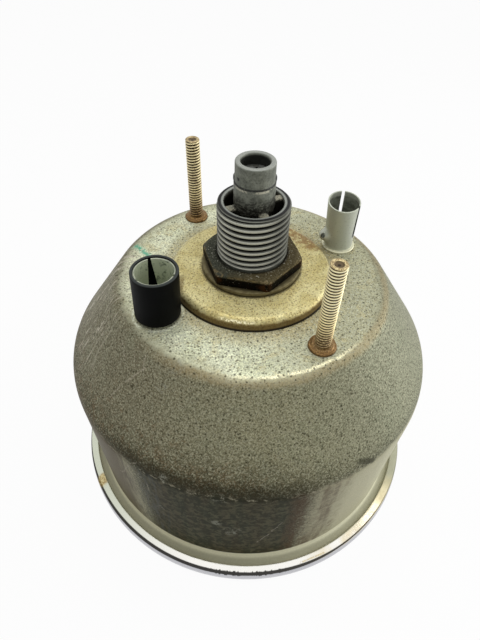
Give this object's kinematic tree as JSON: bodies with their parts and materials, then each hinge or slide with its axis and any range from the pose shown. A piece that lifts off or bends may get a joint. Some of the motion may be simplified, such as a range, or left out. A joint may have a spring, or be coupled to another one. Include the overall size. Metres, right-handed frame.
{
  "type": "speedometer",
  "caption": "Round cable-driven magnetic speedometer with a distance counter: domed steel case, chromed bezel, threaded cable connector, mounting studs and lamp tubes on the back.",
  "frame": {"origin": "centre of the front face of the bezel, where the instrument lies on its front rim", "axes": "+Z along the axis of the instrument from the front to the back with the cable connector up, +Y to the top of the dial, so the reader's left is +X"},
  "size_m": [0.1, 0.1, 0.0953],
  "materials": {
    "case_steel": "pressed steel, plated, olive grey and spotted with age",
    "bezel_chrome": "bright plated, rubbed and stained",
    "clear_glass": "clear",
    "black_rubber": "matt black",
    "black_paint": "matt black",
    "dial_face": "matt black with white scale",
    "black_screw": "blackened",
    "brass_part": "turned",
    "zinc_casting": "die-cast, grey, dull",
    "plated_steel": "dull plated",
    "bush_bronze": "oiled bronze",
    "rusty_nut": "blued, rust brown at the edges",
    "washer_steel": "dull",
    "khaki_plate": "yellow passivated, stained",
    "stud_steel": "yellow passivated, rusty at the foot",
    "lamp_tube": "dull plated, grey green",
    "sleeve_plastic": "black",
    "shaft_steel": "ground",
    "magnet_alloy": "dark grey cast magnet",
    "cup_aluminium": "spun",
    "hair_bronze": "thin strip",
    "pointer_paint": "orange red",
    "cap_plastic": "black",
    "wheel_brass": "cut wheel",
    "gear_plastic": "ivory",
    "drum_plastic": "black with white numbers"
  },
  "bodies": {
    "instrument": {"case": "case_steel", "bezel": "bezel_chrome", "glass": "clear_glass", "glass_seal": "black_rubber", "spacer_ring": "black_paint", "dial": "dial_face", "dial_screws": "black_screw", "frame_screws": "black_screw", "dial_pillars": "brass_part", "spindle_bearing": "brass_part", "spring_lever": "brass_part", "connector": "zinc_casting", "frame": "zinc_casting", "bridge": "plated_steel", "field_ring": "plated_steel", "shaft_bush": "bush_bronze", "connector_nut": "rusty_nut", "lock_washer": "washer_steel", "dished_plate": "khaki_plate", "mounting_studs": "stud_steel", "lamp_holder_bare": "lamp_tube", "lamp_holder_sleeved": "lamp_tube", "lamp_sleeve": "sleeve_plastic", "drum_axle": "shaft_steel", "pinion_shaft": "shaft_steel", "stop_pin": "shaft_steel", "drum_spacers": "shaft_steel", "hairspring": "hair_bronze"},
    "drive": {"drive_shaft": "shaft_steel", "magnet": "magnet_alloy"},
    "cross": {"cross_shaft": "shaft_steel", "cross_wheel": "wheel_brass"},
    "upright": {"upright_shaft": "shaft_steel", "upright_wheel": "wheel_brass"},
    "drum_1": {"drum_gear": "gear_plastic", "number_drum_1": "drum_plastic"},
    "drum_2": {"number_drum_2": "drum_plastic"},
    "drum_3": {"number_drum_3": "drum_plastic"},
    "drum_4": {"number_drum_4": "drum_plastic"},
    "drum_5": {"number_drum_5": "drum_plastic"},
    "pinion_1": {"transfer_pinion_1": "gear_plastic"},
    "pinion_2": {"transfer_pinion_2": "gear_plastic"},
    "pinion_3": {"transfer_pinion_3": "gear_plastic"},
    "pinion_4": {"transfer_pinion_4": "gear_plastic"},
    "pointer_group": {"pointer": "pointer_paint", "pointer_cap": "cap_plastic", "spindle": "shaft_steel", "drag_cup": "cup_aluminium", "spring_collet": "brass_part"}
  },
  "joints": [
    {"name": "drive_spin", "type": "hinge", "parent": "instrument", "child": "drive", "pos_m": [0, 0, 0.06], "axis": [0, 0, 1], "continuous": true},
    {"name": "cross_spin", "type": "hinge", "parent": "instrument", "child": "cross", "pos_m": [0, -0.01055, 0.045], "axis": [1, 0, 0], "continuous": true},
    {"name": "upright_spin", "type": "hinge", "parent": "instrument", "child": "upright", "pos_m": [-0.01135, -0.0171, 0.045], "axis": [0, 0, 1], "continuous": true},
    {"name": "drum_1_spin", "type": "hinge", "parent": "instrument", "child": "drum_1", "pos_m": [0, -0.02525, 0.019], "axis": [1, 0, 0], "continuous": true},
    {"name": "drum_2_spin", "type": "hinge", "parent": "instrument", "child": "drum_2", "pos_m": [0, -0.02525, 0.019], "axis": [1, 0, 0], "continuous": true},
    {"name": "drum_3_spin", "type": "hinge", "parent": "instrument", "child": "drum_3", "pos_m": [0, -0.02525, 0.019], "axis": [1, 0, 0], "continuous": true},
    {"name": "drum_4_spin", "type": "hinge", "parent": "instrument", "child": "drum_4", "pos_m": [0, -0.02525, 0.019], "axis": [1, 0, 0], "continuous": true},
    {"name": "drum_5_spin", "type": "hinge", "parent": "instrument", "child": "drum_5", "pos_m": [0, -0.02525, 0.019], "axis": [1, 0, 0], "continuous": true},
    {"name": "pinion_1_spin", "type": "hinge", "parent": "instrument", "child": "pinion_1", "pos_m": [0, -0.02525, 0.02735], "axis": [1, 0, 0], "continuous": true},
    {"name": "pinion_2_spin", "type": "hinge", "parent": "instrument", "child": "pinion_2", "pos_m": [0, -0.02525, 0.02735], "axis": [1, 0, 0], "continuous": true},
    {"name": "pinion_3_spin", "type": "hinge", "parent": "instrument", "child": "pinion_3", "pos_m": [0, -0.02525, 0.02735], "axis": [1, 0, 0], "continuous": true},
    {"name": "pinion_4_spin", "type": "hinge", "parent": "instrument", "child": "pinion_4", "pos_m": [0, -0.02525, 0.02735], "axis": [1, 0, 0], "continuous": true},
    {"name": "pointer_swing", "type": "hinge", "parent": "instrument", "child": "pointer_group", "pos_m": [0, 0, 0.0076], "axis": [0, 0, 1], "range_deg": [0, 240], "stiffness_Nm_per_rad": 0.00002, "springref_deg": -17.19, "deforming": ["hairspring"]}
  ],
  "couplings": [
    {"joint": "cross_spin", "follows": "drive_spin", "ratio": -0.05},
    {"joint": "upright_spin", "follows": "drive_spin", "ratio": -0.002},
    {"joint": "drum_1_spin", "follows": "drive_spin", "ratio": 0.0001},
    {"joint": "drum_2_spin", "follows": "drive_spin", "ratio": 0.00001},
    {"joint": "drum_3_spin", "follows": "drive_spin", "ratio": 0.000001},
    {"joint": "drum_4_spin", "follows": "drive_spin", "ratio": 0.0000001},
    {"joint": "drum_5_spin", "follows": "drive_spin", "ratio": 0.00000001},
    {"joint": "pinion_1_spin", "follows": "drive_spin", "ratio": -0.000025},
    {"joint": "pinion_2_spin", "follows": "drive_spin", "ratio": -0.0000025},
    {"joint": "pinion_3_spin", "follows": "drive_spin", "ratio": -0.00000025},
    {"joint": "pinion_4_spin", "follows": "drive_spin", "ratio": -0.000000025}
  ]
}
